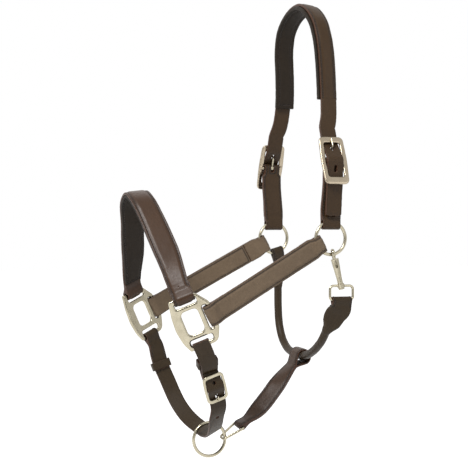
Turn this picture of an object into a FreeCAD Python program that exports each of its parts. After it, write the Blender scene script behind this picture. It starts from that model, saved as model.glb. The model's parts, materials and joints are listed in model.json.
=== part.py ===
"""Leather headcollar: each strap, lining, ring, buckle and snap piece as its own closed solid.

Millimetres. +X is the near side, -Y is towards the nose, +Z is up. The origin is the poll seat, the
centre of the crown pad's underside where it lies behind the horse's ears.
"""

import FreeCAD
import Part
import math
import os

V = FreeCAD.Vector
AXIS_X = V(1, 0, 0)
AXIS_Y = V(0, 1, 0)
ORIGIN = V(0, 0, 0)

# Clearances
layer_gap = 0.15          # between leathers that are stitched together
wire_gap = 0.35           # round a bar or wire inside a leather fold
pass_gap = 0.25           # where a strap passes a buckle bar
pivot_gap = 0.06          # round a turning pin
keeper_gap = 0.7
keeper_room = 1.1         # beside the strap
lap = 1.0                 # how far a strap's curved run starts inside its flat end
skin = 0.04               # how much larger the flat end is there
settle = 9.0              # from a fold's hole to where its two leathers meet

# Sections through which the curved straps run
crown_sections = 25
pad_sections = 20
nose_sections = 31
nose_lining_sections = 27

# Crown strap and its pad
crown_width = 20.0
crown_thick = 3.6
pad_width = 24.5
pad_thick = 5.0
crown_course = [(70.4, -1.8, -139.5), (66.6, 0.6, -121.5), (65.2, 1.1, -113.0), (63.6, 1.2, -96.0),
                (62.7, 0.6, -75.0), (62.0, -0.3, -60.0), (60.5, -1.4, -44.8), (55.9, -2.3, -29.7),
                (50.5, -2.8, -19.5), (40.4, -2.9, -9.4), (22.0, -2.2, 1.3)]
crown_top = (0.0, -1.0, 5.28)
crown_tilt = 11.0         # degrees that the top of the arch leans forward
crown_clear = 7.0         # from the billet's start to the first point of the course
hole_length = 8.0
hole_width = 3.6

# Crown buckles and the tabs that hold them to the cheek rings
buckle_x = 93.4
buckle_y = -4.5
buckle_z = -187.7
buckle_lean = 20.0
buckle_length = 60.0
buckle_width = 31.0
buckle_end_bar = 7.5
buckle_low_bar = 9.0
buckle_side_bar = 5.0
buckle_bow = 1.5
buckle_thick = 3.4
buckle_bar_radius = 2.0
buckle_bar_sink = 2.7
buckle_round = 1.1
tab_width = 25.0
tab_leather = 2.4
tab_ring_width = 22.5
tab_knee_drop = 27.0
billet_tip = (61.1, -24.3)  # along and out from the buckle's middle
billet_point = 11.0       # length of the pointed tip
billet_hole_back = 50.9
billet_back = -3.9
tongue_radius = 1.15
tongue_hole_at = -15.4     # along the buckle from its bar
tongue_eye_wall = 1.3

# Cheek rings
ring_x = 84.3
ring_y = -4.4
ring_z = -279.4
ring_radius = 19.2
ring_wire = 4.0

# Squares: the cast three-slot frames that join nose, cheek and chin
square_at = V(92.1, -181.0, -373.7)
square_pitch = 24.0
square_yaw = 20.0
square_thick = 4.4
square_round = 1.1
window_across = 20.0
window_height = 28.3
window_corner = 5.0
window_bar = 5.8
end_slot = 6.4
rear_slot = 5.2
outer_bar = 5.1
nose_slot_length = 26.0
cheek_slot_length = 28.0
chin_slot_length = 26.5
chin_slot_shift = 1.75
rim_width = 10.0

# Cheek straps
cheek_width = 25.0
cheek_leather = 2.5
cheek_lining_thick = 2.1
cheek_return = 24.0
cheek_end_width = 21.0

# Noseband
nose_width = 29.0
nose_fold_width = 24.6
nose_leather = 3.0
nose_return_leather = 2.6
nose_return = 17.0
nose_lining_thick = 3.5
nose_lean = 26.0          # degrees that the branches lean in from the squares
nose_fold_at = 0.5
nose_course = [(0.0, -218.5, -226.8), (11.0, -218.3, -229.8), (23.1, -217.0, -237.1),
               (37.5, -211.4, -256.5), (54.1, -205.5, -281.4), (66.7, -201.0, -301.4)]

# Chin strap, its tab and its buckle
chin_width = 19.5
chin_leather = 3.0
chin_return = 46.0
chin_course = [(75.5, -146.5, -470.0), (64.7, -142.0, -485.0), (52.5, -138.5, -495.0),
               (37.0, -134.0, -503.5), (19.0, -129.5, -509.5)]
chin_bottom_tilt = 28.0
chin_buckle_at = V(85.6, -151.3, -450.4)
chin_buckle_run = V(-0.25, 0.33, -0.91)
chin_buckle_across = V(0.03, 0.94, 0.342)
chin_buckle_length = 35.0
chin_buckle_end_bar = 4.2
chin_buckle_side_bar = 2.9
chin_buckle_thick = 2.6
chin_bar_radius = 1.5
chin_bar_sink = 3.6
chin_tab_leather = 2.0
chin_tab_lean = 17.0      # degrees between the tab and the buckle's face
chin_fold_at = -0.9
chin_fold_way = V(-0.22, 0.33, -0.92)
chin_over_square = 6.4
billet_over_tab = [(5.0, 5.5), (14.5, 6.6)]
chin_far_course = [(88.6, -160.8, -425.0), (87.0, -156.6, -440.0), (82.0, -151.2, -455.0)]
chin_low_y = -128.7
chin_low_z = -512.0
chin_loop_leather = 1.8
chin_tongue_radius = 0.95
chin_tip_length = 9.0
chin_hole = 3.4
chin_hole_at = 10.8       # down the buckle, where the tongue goes through
chin_spare_hole_at = -6.4
chin_hole_low = 21.5      # down the strap from the buckle's lower end
keeper_length = 10.0
keeper_leather = 1.4
keeper_lift = 0.9         # of the near keeper, clear of the tab's bend
near_keeper_up = 12.0      # up the tab from where the billet leaves the buckle

# Chin ring and the link that ties the gullet strap to it
chin_ring_y = -125.7
chin_ring_z = -522.0
chin_ring_radius = 20.2
chin_ring_wire = 4.0
link_wire = 3.0
link_catch = 8.0          # degrees above level where the link holds the chin ring
link_overrun = 4.4
link_tip_radius = 4.2
link_width = 23.5
link_corner = 2.2
link_at = V(0.0, -86.0, -507.0)
link_across = V(-0.951, -0.241, 0.19)

# Gullet strap
gullet_width = 22.0
gullet_leather = 2.3
gullet_end_width = 15.5
gullet_course = [V(0.0, -38.0, -461.5), V(0.0, -57.0, -484.0), V(0.0, -72.0, -497.3)]
gullet_across = V(-0.766, -0.489, 0.418)
gullet_skew = 10.0        # degrees between the loop and the roll that it hangs on
gullet_loop_length = 18.0
gullet_roll_gap = 2.8
gullet_rest = 1.7         # between the roll and the end of the loop that it lies in
gullet_x = -6.0

# Rolled throat strap
roll_diameter = 10.0
roll_wall = 2.0
core_gap = 0.1
throat_tab_width = 15.5
throat_tab_y = 2.4
throat_leather = 2.2
throat_tab_thick = 4.8
throat_tab_tilt = 16.0    # degrees behind straight down from the far ring
roll_course = [V(-88.0, 3.6, -342.0), V(-88.6, 3.9, -365.0), V(-87.0, 4.2, -388.0),
               V(-78.0, 4.4, -408.0), V(-58.0, 3.0, -420.5), V(-32.0, 0.6, -425.0),
               V(-4.0, -1.6, -425.5), V(24.0, -4.8, -422.0), V(48.0, -7.0, -413.5),
               V(67.0, -7.6, -402.0), V(78.5, -7.0, -389.0)]
leaf_fold_width = 25.0
leaf_thick = 4.6
leaf_course = [((85.6, 2.6, -369.0), (0, -0.93, 0.3)), ((83.2, -1.8, -378.0), (0, -0.93, 0.36)),
               ((81.2, -4.8, -384.5), (0, -0.93, 0.36))]

# Trigger snap
snap_ring_y = -0.8        # where the hook holds the near ring
snap_lean_x = 1.0
snap_lean_y = 11.0
snap_lean_z = 44.0
snap_turn = 22.0
snap_body_shift = 2.9
snap_body_top = 5.4
snap_body_height = 21.6
snap_body_radius = 4.7
snap_neck_radius = 3.5
snap_bowl_radius = 2.9
snap_crown = 0.6
snap_gate_at = 2.2
snap_hook_thick = 4.3
snap_reach = 36.0
snap_bolt_radius = 1.6
snap_bolt_length = 7.0
snap_knob_at = 8.6
snap_knob_out = 3.4
snap_travel = 6.5
snap_knob_radius = 1.3
stem_radius = 2.35
eye_wire = 3.2
eye_width = 33.3
eye_height = 20.1
eye_boss_radius = 4.4
eye_boss_length = 4.6
eye_shift = 0.7
neck_back = 0.25          # the neck ends above the eye's top bar


# ---------------------------------------------------------------- helpers

class Frame:
    """A place with three square directions: a along, b beside, c the third by the right hand."""

    def __init__(self, origin, along, beside):
        self.origin = V(origin)
        self.a = V(along).normalize()
        flat = beside - self.a * beside.dot(self.a)
        self.b = V(flat).normalize()
        self.c = self.a.cross(self.b)

    def at(self, a, b=0.0, c=0.0):
        return self.origin + self.a * a + self.b * b + self.c * c

    def moved(self, a=0.0, b=0.0, c=0.0):
        return Frame(self.at(a, b, c), self.a, self.b)


def mirror(shape):
    return shape.mirror(ORIGIN, AXIS_X)


def mirrored(vector):
    return V(-vector.x, vector.y, vector.z)


def rounded(frame, corners, lift=0.0):
    """Closed wire of straight runs through corners (a, b, radius), each corner a tangent arc."""
    count = len(corners)
    legs = []
    for index in range(count):
        here = corners[index]
        radius = here[2] if len(here) > 2 else 0.0
        p = V(here[0], here[1], 0)
        after = corners[(index + 1) % count]
        into = (p - V(corners[index - 1][0], corners[index - 1][1], 0)).normalize()
        out = (V(after[0], after[1], 0) - p).normalize()
        turn = into.getAngle(out)
        if radius <= 0 or turn < 1e-4:
            legs.append((p, None, p))
            continue
        back = radius * math.tan(turn / 2)
        middle = p + (out - into).normalize() * (radius / math.cos(turn / 2) - radius)
        legs.append((p - into * back, middle, p + out * back))
    edges = []
    for index in range(count):
        start, middle, end = legs[index]
        follow = legs[(index + 1) % count][0]
        if middle is not None:
            edges.append(Part.Arc(*(frame.at(q.x, q.y, lift) for q in (start, middle, end))).toShape())
        if end.distanceToPoint(follow) > 1e-5:
            edges.append(Part.makeLine(frame.at(end.x, end.y, lift), frame.at(follow.x, follow.y, lift)))
    return Part.Wire(edges)


def slab(frame, outlines, depth, shift=0.0):
    """Plate of the first outline, less the others, depth thick about the frame's plane."""
    wires = [rounded(frame, corners, shift - depth / 2) for corners in outlines]
    face = Part.makeFace(wires, "Part::FaceMakerBullseye")
    return face.extrude(frame.c * depth)


def edge_view(row):
    """Corners of a strap seen on edge, from its course: (point, half thickness, bend radius)."""
    sides = []
    for side in (1, -1):
        corners = []
        for index, (p, half, radius) in enumerate(row):
            into = (p - row[index - 1][0]).normalize() if index else None
            out = (row[index + 1][0] - p).normalize() if index < len(row) - 1 else None
            first = out if into is None else into
            second = into if out is None else out
            mitre = V(-first.y - second.y, first.x + second.x, 0).normalize()
            reach = half / mitre.dot(V(-first.y, first.x, 0))
            left = first.x * second.y - first.y * second.x
            if abs(left) > 1e-6:
                radius = max(radius - math.copysign(half, left) * side, 0.0)
            q = p + mitre * (side * reach)
            corners.append((q.x, q.y, radius))
        sides.append(corners)
    return sides[0] + sides[1][::-1]


def band(points, radii, thick):
    return edge_view([(V(p[0], p[1], 0), thick / 2, r) for p, r in zip(points, radii)])


def folded(points, radii, half, first, last):
    """Strap on edge with a lobe round a bar at each end: (outer radius, length of its hole)."""
    p = [V(q[0], q[1], 0) for q in points]
    head = (p[1] - p[0]).normalize()
    tail = (p[-1] - p[-2]).normalize()
    row = [(p[0] - head * first[0], first[0], first[0]),
           (p[0] + head * (first[1] + 1.0), first[0], 4.0),
           (p[0] + head * (first[1] + settle), half, 8.0)]
    for index in range(1, len(p) - 1):
        row.append((p[index], half, radii[index - 1]))
    row.append((p[-1] - tail * (last[1] + settle), half, 8.0))
    row.append((p[-1] - tail * (last[1] + 1.0), last[0], 4.0))
    row.append((p[-1] + tail * last[0], last[0], last[0]))
    return edge_view(row)


def stadium(start, end, radius, b=0.0):
    """Corners of a long hole with round ends."""
    return [(start - radius, b - radius, radius), (end + radius, b - radius, radius),
            (end + radius, b + radius, radius), (start - radius, b + radius, radius)]


def box(a0, a1, b0, b1, radius=0.0):
    return [(a0, b0, radius), (a1, b0, radius), (a1, b1, radius), (a0, b1, radius)]


def fold_end(frame, eye, leather, hole, reach, high, low, width):
    """Fold round a bar and the start of its strap, as far as reach.

    The frame's origin is the hole's innermost centre; b is the outer side, c the width.
    """
    wall = eye + leather
    turn = min(hole + settle, reach - 1.0)
    high += skin
    low += skin
    width += 2 * skin
    corners = [(-wall, wall, wall), (hole + 1.0, wall, 3.0), (turn, high, 4.0), (reach, high),
               (reach, -low), (turn, -low, 4.0), (hole + 1.0, -wall, 3.0), (-wall, -wall, wall)]
    return slab(frame, [corners], width).cut(slab(frame, [stadium(0, hole, eye)], width + 4))


def taper(frame, corners, depth=60.0):
    """Prism of a strap's outline seen on its face: corners are (a, c)."""
    flat = Frame(frame.origin, frame.a, frame.c)
    return slab(flat, [corners], depth)


def sides(rows):
    """Corners of an outline symmetrical in width, from (a, half width) rows."""
    return [(a, -w) for a, w in rows] + [(a, w) for a, w in rows[::-1]]


def across_bar(way, bar):
    """Direction less its part along a bar, so that a fold sits square on the bar."""
    return way - bar * way.dot(bar)


def pointed(strap, tip, width, length):
    """Strap with its end cut to a point at the frame's origin."""
    half = width / 2
    for side in (1, -1):
        wedge = [(-length, side * (half + 2.3), 0), (-length - 3.0, side * (half + 0.3), 14.0),
                 (-2.2, side * 3.4, 5.0), (0, side * -0.4, 0), (3, side * -0.4, 0), (3, side * (half + 2.3), 0)]
        strap = strap.cut(taper(tip, wedge, 20.0))
    return strap


def punch(frame, a, b=0.0, angle=0.0, long=hole_length, wide=hole_width):
    """Long hole through a strap, its centre at (a, b), lying along an angle in the edge view."""
    turn = math.radians(angle)
    along = frame.a * math.cos(turn) + frame.b * math.sin(turn)
    flat = Frame(frame.at(a, b), along, frame.c)
    half = (long - wide) / 2
    return slab(flat, [stadium(-half, half, wide / 2)], 10.0)


def joined(*shapes):
    whole = shapes[0]
    for shape in shapes[1:]:
        whole = whole.fuse(shape)
    return whole


def both_halves(half):
    """A near half that runs past the middle plane, cut there, and its mirror image, as one."""
    near = half.common(Part.makeBox(200, 400, 700, V(0, -300, -650)))
    return joined(near, mirror(near))


def tangent_corner(near, centre, radius, far, side):
    """Corner whose two runs, from near and to far, both touch a circle on the given side."""
    lines = []
    for point, hand in ((near, side), (far, -side)):
        gap = V(centre[0] - point[0], centre[1] - point[1], 0)
        angle = math.atan2(gap.y, gap.x) + hand * math.asin(radius / gap.Length)
        lines.append((point, (math.cos(angle), math.sin(angle)), math.degrees(angle)))
    (p, d, first), (q, e, second) = lines
    cross = d[0] * e[1] - d[1] * e[0]
    along = ((q[0] - p[0]) * e[1] - (q[1] - p[1]) * e[0]) / cross
    return (p[0] + d[0] * along, p[1] + d[1] * along), first, second + 180.0


class Ribbon:
    """A strap's course: a smooth line through stations, with a width direction at each."""

    def __init__(self, stations, first, last):
        points = [V(s[0]) for s in stations]
        self.across = [V(s[1]).normalize() for s in stations]
        self.curve = Part.BSplineCurve()
        self.curve.interpolate(Points=points, InitialTangent=V(first).normalize(),
                               FinalTangent=V(last).normalize())
        self.marks = [self.curve.parameter(p) for p in points]
        self.start = self.curve.FirstParameter
        self.end = self.curve.LastParameter
        middle = len(self.marks) // 2
        self.past = self.marks[middle] * 0.8 + self.marks[min(middle + 1, len(self.marks) - 1)] * 0.2

    def along(self, distance):
        """Mark at a distance along the course, from its start or (negative) back from its end."""
        if distance < 0:
            distance += self.curve.length()
        return self.curve.parameterAtDistance(distance, self.start)

    def frame(self, mark):
        """Frame at a mark: a along the course, b outward, c across the strap."""
        index = 0
        while index < len(self.marks) - 2 and mark > self.marks[index + 1]:
            index += 1
        share = (mark - self.marks[index]) / (self.marks[index + 1] - self.marks[index])
        share = min(max(share, 0.0), 1.0)
        across = self.across[index] * (1 - share) + self.across[index + 1] * share
        tangent = self.curve.tangent(mark)[0]
        return Frame(self.curve.value(mark), tangent, across.cross(tangent))

    def spread(self, start, end, count):
        return [start + (end - start) * index / (count - 1) for index in range(count)]

    def solid(self, start, end, widths, low, high, count):
        """Strap between two marks; widths from start to end, low to high outward."""
        wires = []
        for index, mark in enumerate(self.spread(start, end, count)):
            frame = self.frame(mark)
            width = blend(widths, index / (count - 1))
            corners = [frame.at(0, b, c * width / 2)
                       for b, c in ((low, -1), (high, -1), (high, 1), (low, 1))]
            wires.append(Part.makePolygon(corners + corners[:1]))
        return Part.makeLoft(wires, True, False)

    def morph(self, start, end, widths, thicks, rounds, count):
        """Strap that changes from flat to round between two marks."""
        wires = []
        for index, mark in enumerate(self.spread(start, end, count)):
            frame = self.frame(mark)
            share = index / (count - 1)
            half_c = blend(widths, share) / 2
            half_b = blend(thicks, share) / 2
            corner = min(half_b, half_c) * blend(rounds, share)
            across = Frame(frame.origin, frame.b, frame.c)
            wires.append(rounded(across, box(-half_b, half_b, -half_c, half_c, corner)))
        return Part.makeLoft(wires, True, True)


def blend(values, share):
    """Value at a share of the way through a list."""
    place = share * (len(values) - 1)
    left = min(int(place), len(values) - 2)
    return values[left] + (values[left + 1] - values[left]) * (place - left)


def course(first, mids, last):
    """Ribbon from the end of one fold, through mid stations, to the end of another."""
    stations = [(first.origin, first.c)] + mids + [(last.origin, last.c * -1)]
    return Ribbon(stations, first.a, last.a * -1)


def route(points):
    """Wire of straight runs and tangent arcs through corner points, and its arcs' radii."""
    edges = []
    radii = []
    here = points[0]
    for index in range(1, len(points) - 1):
        corner = points[index]
        into = corner - points[index - 1]
        out = points[index + 1] - corner
        half_turn = into.getAngle(out) / 2
        back = 0.45 * min(into.Length, out.Length)
        radius = back / math.tan(half_turn)
        radii.append(radius)
        into = V(into).normalize()
        out = V(out).normalize()
        start = corner - into * back
        end = corner + out * back
        inward = V(out - into).normalize()
        middle = corner + inward * (radius / math.cos(half_turn) - radius)
        edges.append(Part.makeLine(here, start))
        edges.append(Part.Arc(start, middle, end).toShape())
        here = end
    edges.append(Part.makeLine(here, points[-1]))
    return Part.Wire(edges), radii


def swept(path, radius):
    """Round bar along a wire."""
    start = path.Edges[0].valueAt(path.Edges[0].FirstParameter)
    tangent = path.Edges[0].tangentAt(path.Edges[0].FirstParameter)
    profile = Part.Wire([Part.makeCircle(radius, start, tangent)])
    return path.makePipeShell([profile], True, False)


def rod(start, end, radius):
    return Part.makeCylinder(radius, (end - start).Length, start, end - start)


def bar_eye(width, thick, corner):
    """Radius that clears a bar with rounded edges at any turn."""
    return math.hypot(width / 2 - corner, thick / 2 - corner) + corner + wire_gap


def ring_eye(width):
    """Hole for a ring's wire in a fold of a width: inner and outer centre, from the ring's middle."""
    inner = math.sqrt((ring_radius - ring_wire / 2) ** 2 - (width / 2) ** 2) - wire_gap
    outer = ring_radius + ring_wire / 2 + wire_gap
    radius = ring_wire / 2 + wire_gap
    return inner + radius, outer - radius


def round_faces(plate, frame, thick, radius):
    """Rounds the edges of a plate's two broad faces."""
    edges = []
    for edge in plate.Edges:
        heights = [round((v.Point - frame.origin).dot(frame.c), 3) for v in edge.Vertexes]
        if len(set(heights)) == 1 and abs(abs(heights[0]) - thick / 2) < 1e-3:
            edges.append(edge)
    return plate.makeFillet(radius, edges)


def export(name, shape):
    solids = shape.Solids
    whole = Part.makeCompound(solids) if len(solids) > 1 else solids[0]
    print(f"{name:20s} solids {len(solids)} valid {whole.isValid()} volume {whole.Volume:.0f}")
    whole.exportStep(f"parts/{name}.step")


def export_pair(name, shape):
    export("near_" + name, shape)
    export("far_" + name, mirror(shape))


os.makedirs("parts", exist_ok=True)

# ---------------------------------------------------------------- squares

PITCH = math.radians(square_pitch)
YAW = math.radians(square_yaw)
SQUARE = Frame(square_at, V(math.sin(YAW), math.cos(PITCH) * math.cos(YAW), math.sin(PITCH) * math.cos(YAW)),
               V(0, math.sin(PITCH), -math.cos(PITCH)))
OUT = SQUARE.c * -1
half_window = window_height / 2
end_slot_at = half_window + window_bar + end_slot / 2
end_bar_at = half_window + window_bar + end_slot + outer_bar / 2
rear_slot_at = window_across / 2 + window_bar + rear_slot / 2
rear_bar_at = window_across / 2 + window_bar + rear_slot + outer_bar / 2
square_edge = end_bar_at + outer_bar / 2
square_rear = rear_bar_at + outer_bar / 2
square_bar_eye = bar_eye(outer_bar, square_thick, square_round)


def make_square():
    half_top = nose_slot_length / 2
    rim = -window_across / 2 - rim_width
    outer = [(-half_top - 4.6, -square_edge, 0.8), (half_top + 1.0, -square_edge, 9.0),
             (square_rear, -cheek_slot_length / 2 - 1.0, 7.0), (square_rear, cheek_slot_length / 2 + 1.5, 6.0),
             (half_top + 6.0, square_edge, 9.0), (-half_top - 1.8, square_edge, 0.8),
             (rim + 0.2, 20.0, 26.0), (rim - 2.3, 4.0, 30.0), (rim - 1.2, -12.0, 30.0)]
    holes = [box(-window_across / 2, window_across / 2, -half_window, half_window, window_corner)]
    for a, b, long_a, long_b in ((0.5, -end_slot_at, nose_slot_length, end_slot),
                                 (rear_slot_at, 0.5, rear_slot, cheek_slot_length),
                                 (chin_slot_shift, end_slot_at, chin_slot_length, end_slot)):
        holes.append(box(a - long_a / 2, a + long_a / 2, b - long_b / 2, b + long_b / 2, 1.6))
    return round_faces(slab(SQUARE, [outer] + holes, square_thick), SQUARE, square_thick, square_round)


export_pair("square", make_square())

# ---------------------------------------------------------------- cheek rings

RING = V(ring_x, ring_y, ring_z)
export_pair("cheek_ring", Part.makeTorus(ring_radius, ring_wire / 2, RING, AXIS_X))

# ---------------------------------------------------------------- crown buckle, tongue and tab

LEAN = math.radians(buckle_lean)
BUCKLE = Frame(V(buckle_x, buckle_y, buckle_z), V(math.sin(LEAN), 0, -math.cos(LEAN)),
               V(math.cos(LEAN), 0, math.sin(LEAN)))


def make_frame_buckle(frame, length, width, end_bars, side_bar, bow, thick, round_edge, bar, sink):
    """Buckle: a is along, b out of its face, c across; its centre bar lies sunk behind the frame."""
    flat = Frame(frame.origin, frame.a, frame.c)
    half_a = length / 2
    half_c = width / 2
    window = (end_bars[0] - half_a, half_a - end_bars[1])
    inner_c = half_c - side_bar
    outer = [(-half_a, -half_c, 6.0), (0, -half_c - bow, 3 * length), (half_a, -half_c, 6.0),
             (half_a, half_c, 6.0), (0, half_c + bow, 3 * length), (-half_a, half_c, 6.0)]
    plate = slab(flat, [outer, box(*window, -inner_c, inner_c, 3.0)], thick)
    plate = round_faces(plate, flat, thick, round_edge)
    pieces = [plate, rod(frame.at(0, -sink, -half_c + 1.0), frame.at(0, -sink, half_c - 1.0), bar)]
    for side in (1, -1):
        lug = slab(frame, [box(-bar, bar, -sink - bar, 0)], side_bar - 1.4, side * (half_c - side_bar / 2 - 0.1))
        pieces.append(lug)
    return joined(*pieces)


def make_tongue(frame, bar, sink, arm, points, length):
    """Tongue: an eye round the centre bar and an arm through points (a, b) in the buckle's frame."""
    eye = bar + pivot_gap
    hub = rod(frame.at(0, -sink, -length / 2), frame.at(0, -sink, length / 2), eye + tongue_eye_wall)
    pieces = [hub]
    for index in range(len(points) - 1):
        pieces.append(rod(frame.at(*points[index]), frame.at(*points[index + 1]), arm))
        pieces.append(Part.makeSphere(arm, frame.at(*points[index + 1])))
    whole = joined(*pieces)
    return whole.cut(rod(frame.at(0, -sink, -9), frame.at(0, -sink, 9), eye))


export_pair("crown_buckle", make_frame_buckle(BUCKLE, buckle_length, buckle_width,
                                              (buckle_end_bar, buckle_low_bar), buckle_side_bar, buckle_bow,
                                              buckle_thick, buckle_round, buckle_bar_radius, buckle_bar_sink))
arm_rest = buckle_thick / 2 + tongue_radius + pass_gap
export_pair("crown_tongue", make_tongue(BUCKLE, buckle_bar_radius, buckle_bar_sink, tongue_radius,
                                        [(-1.5, -4.4), (-12.6, -4.4), (-18.6, arm_rest), (-27.0, arm_rest)],
                                        3.0))

DOWN = Frame(V(0, buckle_y, 0), V(0, 0, -1), AXIS_X)


def make_crown_tab():
    bar_at = BUCKLE.at(0, -buckle_bar_sink)
    ring_inner, ring_outer = ring_eye(tab_ring_width)
    bar_hole = buckle_bar_radius + wire_gap
    ring_hole = ring_wire / 2 + wire_gap
    points = [(-bar_at.z, bar_at.x), (-bar_at.z + tab_knee_drop, bar_at.x - 0.6),
              (-ring_z - ring_outer - 15.0, ring_x), (-ring_z - ring_inner, ring_x)]
    outline = folded(points, [60.0, 30.0], tab_leather, (bar_hole + tab_leather, 0.0),
                     (ring_hole + tab_leather, ring_outer - ring_inner))
    strap = slab(DOWN, [outline], tab_width)
    rows = [(-bar_at.z - 9, crown_width / 2), (-bar_at.z + 8, crown_width / 2), (-bar_at.z + 12, 13.5),
            (-ring_z - ring_outer - 14, 13.5), (-ring_z - ring_outer - 2, tab_ring_width / 2),
            (-ring_z, tab_ring_width / 2)]
    strap = strap.common(taper(DOWN, sides(rows), 400.0))
    strap = strap.cut(slab(DOWN, [stadium(-bar_at.z, -bar_at.z, bar_hole, bar_at.x)], 40))
    strap = strap.cut(slab(DOWN, [stadium(-ring_z - ring_outer, -ring_z - ring_inner, ring_hole, ring_x)], 40))
    return strap.cut(slab(BUCKLE, [box(-9.5, 3.9, -9.0, 9.0)], 4.0))


export_pair("crown_tab", make_crown_tab())

# ---------------------------------------------------------------- crown strap and pad

lobe_pass = buckle_bar_radius + wire_gap + tab_leather + pass_gap + crown_thick / 2
billet_join = (-buckle_length / 2 - 11.5, billet_back)
billet_near = (-buckle_length / 2 + 8.5, billet_back)
billet_top, rise, fall = tangent_corner(billet_near, (0, -buckle_bar_sink), lobe_pass, billet_tip, 1)


def make_billet():
    """Strap end through the buckle, its holes and its pointed tip."""
    strap = slab(BUCKLE, [band([billet_join, billet_near, billet_top, billet_tip],
                               [0, 14.0, lobe_pass, 0], crown_thick + 2 * skin)], crown_width + 2 * skin)
    tongue_b = billet_near[1] + (tongue_hole_at - billet_near[0]) * math.tan(math.radians(rise))
    strap = strap.cut(punch(BUCKLE, tongue_hole_at, tongue_b, rise))
    spare_b = billet_tip[1] - billet_hole_back * math.tan(math.radians(fall))
    strap = strap.cut(punch(BUCKLE, billet_tip[0] - billet_hole_back, spare_b, fall))
    turn = math.radians(fall)
    along = BUCKLE.a * math.cos(turn) + BUCKLE.b * math.sin(turn)
    tip = Frame(BUCKLE.at(*billet_tip), along, BUCKLE.b)
    return pointed(strap, tip, crown_width, billet_point)


def crown_ribbon():
    join = BUCKLE.at(billet_join[0] + lap, billet_join[1] - crown_thick / 2)
    near = [(join, AXIS_Y)]
    for x, y, z in crown_course:
        if z < join.z + crown_clear:
            continue
        near.append((V(x, y, z), AXIS_Y if z < -58 else V(0, 1, -0.1 * (z + 60) / 60)))
    top = [(V(*crown_top), V(0, 1, -math.tan(math.radians(crown_tilt))))]
    far = [(mirrored(p), mirrored(w)) for p, w in near[::-1]]
    return Ribbon(near + top + far, BUCKLE.a * -1, mirrored(BUCKLE.a))


CROWN = crown_ribbon()
billet = make_billet()
arch = CROWN.solid(CROWN.start, CROWN.past, [crown_width] * 2, 0.0, crown_thick, crown_sections)
export("crown_strap", both_halves(joined(arch, billet)))
export("crown_pad", both_halves(CROWN.solid(CROWN.marks[3], CROWN.past, [pad_width] * 2,
                                            -layer_gap - pad_thick, -layer_gap, pad_sections)))

# ---------------------------------------------------------------- cheek straps and linings

RING_WAY = math.radians(208.5)


def make_cheek():
    bar_at = SQUARE.at(rear_bar_at, 0.5)
    ring_inner, ring_outer = ring_eye(cheek_end_width)
    way = V(0, math.cos(RING_WAY), math.sin(RING_WAY))
    wire_at = RING + way * ((ring_inner + ring_outer) / 2)
    line = Frame(bar_at, wire_at - bar_at, AXIS_X)
    length = (wire_at - bar_at).Length
    hole = ring_outer - ring_inner
    ring_hole = ring_wire / 2 + wire_gap + 0.15
    skew = 2.2
    points = [(-skew / 2, 0), (length / 2, 0), (length + hole / 2, 0)]
    outline = folded(points, [0], cheek_leather, (square_bar_eye + cheek_leather, skew),
                     (ring_hole + cheek_leather, hole))
    strap = slab(line, [outline], cheek_width)
    rows = [(-9, 13.5), (length - 14, 13.5), (length - 3, cheek_end_width / 2), (length + 12, cheek_end_width / 2)]
    strap = strap.common(taper(line, sides(rows)))
    strap = strap.cut(slab(line, [stadium(-skew / 2, skew / 2, square_bar_eye)], 40))
    strap = strap.cut(slab(line, [stadium(length - hole / 2, length + hole / 2, ring_hole)], 40))
    ends = (cheek_return, length - cheek_return)
    strap = strap.cut(slab(line, [box(ends[0], ends[1], -6, 0)], 40))
    lining = slab(line, [box(ends[0] + 0.4, ends[1] - 0.4, -layer_gap - cheek_lining_thick, -layer_gap)],
                  cheek_width - 0.4)
    return strap, lining


cheek, cheek_lining = make_cheek()
export_pair("cheek_strap", cheek)
export_pair("cheek_lining", cheek_lining)

# ---------------------------------------------------------------- noseband

LEAN_IN = math.radians(nose_lean)
NOSE = Frame(SQUARE.at(nose_fold_at, -end_bar_at), SQUARE.b * -math.cos(LEAN_IN) + SQUARE.c * math.sin(LEAN_IN),
             OUT)


def nose_ribbon():
    start = NOSE.moved(14.0 - lap)
    near = [(start.origin, start.c)]
    total = len(nose_course) - 1
    for index in range(total, 0, -1):
        share = index / total
        across = V(0.1 * share, 0.98, 0.1 + 0.2 * share)
        near.append((V(*nose_course[index]), across))
    top = [(V(*nose_course[0]), V(0, 0.99, 0.1))]
    far = [(mirrored(p), mirrored(w)) for p, w in near[::-1]]
    return Ribbon(near + top + far, start.a, mirrored(start.a) * -1)


def make_noseband():
    end = fold_end(NOSE, square_bar_eye, nose_return_leather, 0.0, 14.0, nose_leather, nose_return_leather,
                   nose_fold_width)
    ribbon = nose_ribbon()
    whole = nose_width - 1.0
    widths = [nose_fold_width, 26.6, nose_width, nose_width, whole, whole - 0.5, whole]
    strap = ribbon.solid(ribbon.start, ribbon.past, widths, 0.0, nose_leather, nose_sections)
    back = ribbon.solid(ribbon.start, ribbon.along(nose_return - 14.0), [nose_fold_width - 0.2, 26.4],
                        -nose_return_leather, 1.0, 9)
    lining = ribbon.solid(ribbon.along(nose_return - 13.5), ribbon.past,
                          [width - 0.4 for width in widths], -layer_gap - nose_lining_thick, -layer_gap,
                          nose_lining_sections)
    return both_halves(joined(strap, end, back)), both_halves(lining)


noseband, nose_lining = make_noseband()
export("noseband_strap", noseband)
export("noseband_lining", nose_lining)

# ---------------------------------------------------------------- chin strap, tab, buckle and keepers

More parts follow.
